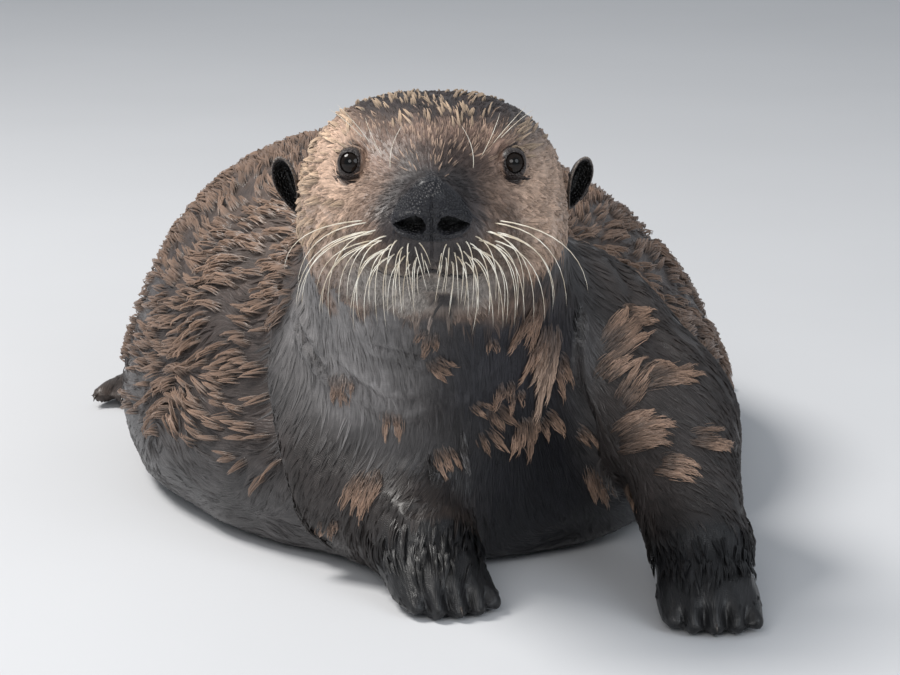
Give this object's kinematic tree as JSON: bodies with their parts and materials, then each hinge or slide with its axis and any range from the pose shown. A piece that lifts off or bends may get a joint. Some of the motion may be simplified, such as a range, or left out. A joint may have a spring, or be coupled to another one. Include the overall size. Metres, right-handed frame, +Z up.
{
  "type": "sea otter",
  "caption": "Still model of an adult sea otter lying on its belly, raised on its forepaws with its head up.",
  "frame": {"origin": "on the floor under the belly, a little behind the shoulders and below the middle of the head and trunk", "axes": "+Z up, -Y towards the nose, +X towards the otter's left"},
  "size_m": [0.4495, 1.0413, 0.2815],
  "materials": {
    "coat": "wet, sleek, dark brown fur",
    "head_coat": "damp brown fur, buff on the cheeks",
    "face_coat": "short, close, grey-brown fur",
    "ear_skin": "thinly furred dark skin",
    "paw_skin": "wet black skin and fine fur",
    "flipper_skin": "wet, finely furred web",
    "nose_leather": "pebbled blue-grey leather",
    "eye": "wet, dark, glossy",
    "whisker": "stiff ivory hair",
    "claw": "dark horn"
  },
  "bodies": {
    "root": {"muzzle": "face_coat", "jaw": "face_coat", "head": "head_coat", "nose": "nose_leather", "neck": "coat", "chest": "coat", "belly": "coat", "rump": "coat", "tail": "coat", "eye_left": "eye", "eye_right": "eye", "ear_left": "ear_skin", "ear_right": "ear_skin", "foreleg_left": "coat", "forepaw_left": "paw_skin", "foreleg_right": "coat", "forepaw_right": "paw_skin", "hindleg_left": "coat", "hindfoot_left": "flipper_skin", "hindleg_right": "coat", "hindfoot_right": "flipper_skin"}
  },
  "joints": []
}
